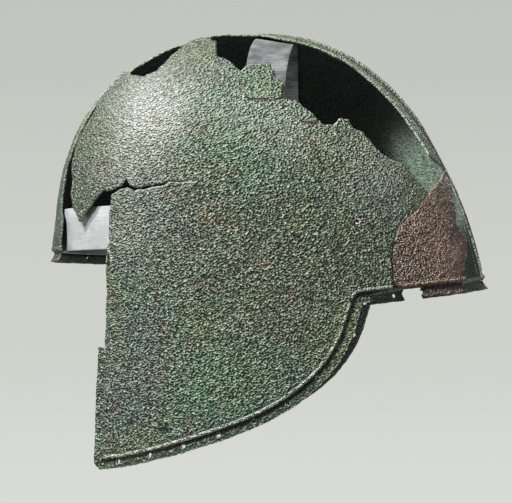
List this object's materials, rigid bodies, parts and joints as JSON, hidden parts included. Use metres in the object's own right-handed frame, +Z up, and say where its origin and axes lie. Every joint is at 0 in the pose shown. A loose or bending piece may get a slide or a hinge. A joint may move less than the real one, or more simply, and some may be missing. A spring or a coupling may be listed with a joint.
{
  "type": "illyrian helmet",
  "caption": "Open-faced sheet-bronze helmet with long cheekpieces and a crest channel, broken into fragments that a strip-metal hoop and brow band hold in shape.",
  "frame": {"origin": "middle of the underside of the hoop's flat top, where a display post holds the helmet up", "axes": "+Z up, the face opening looks along -Y, +X to the wearer's left; the helmet stands upright as worn"},
  "size_m": [0.184, 0.2392, 0.2361],
  "materials": {
    "pale_green_bronze": "pitted pale green patina, matt with a few brighter crystals",
    "dark_green_bronze": "pitted dark green patina, matt",
    "brown_bronze": "rough red-brown oxide, matt",
    "grey_strip": "satin grey strip",
    "screw_steel": "turned steel"
  },
  "bodies": {
    "root": {"right_half": "dark_green_bronze", "left_half": "pale_green_bronze", "crown_chip": "pale_green_bronze", "temple_chip": "pale_green_bronze", "nape_fragment": "brown_bronze", "crown_hoop": "grey_strip", "brow_band": "grey_strip", "left_lower_screw": "screw_steel", "left_upper_screw": "screw_steel", "right_lower_screw": "screw_steel", "right_upper_screw": "screw_steel"}
  },
  "joints": []
}
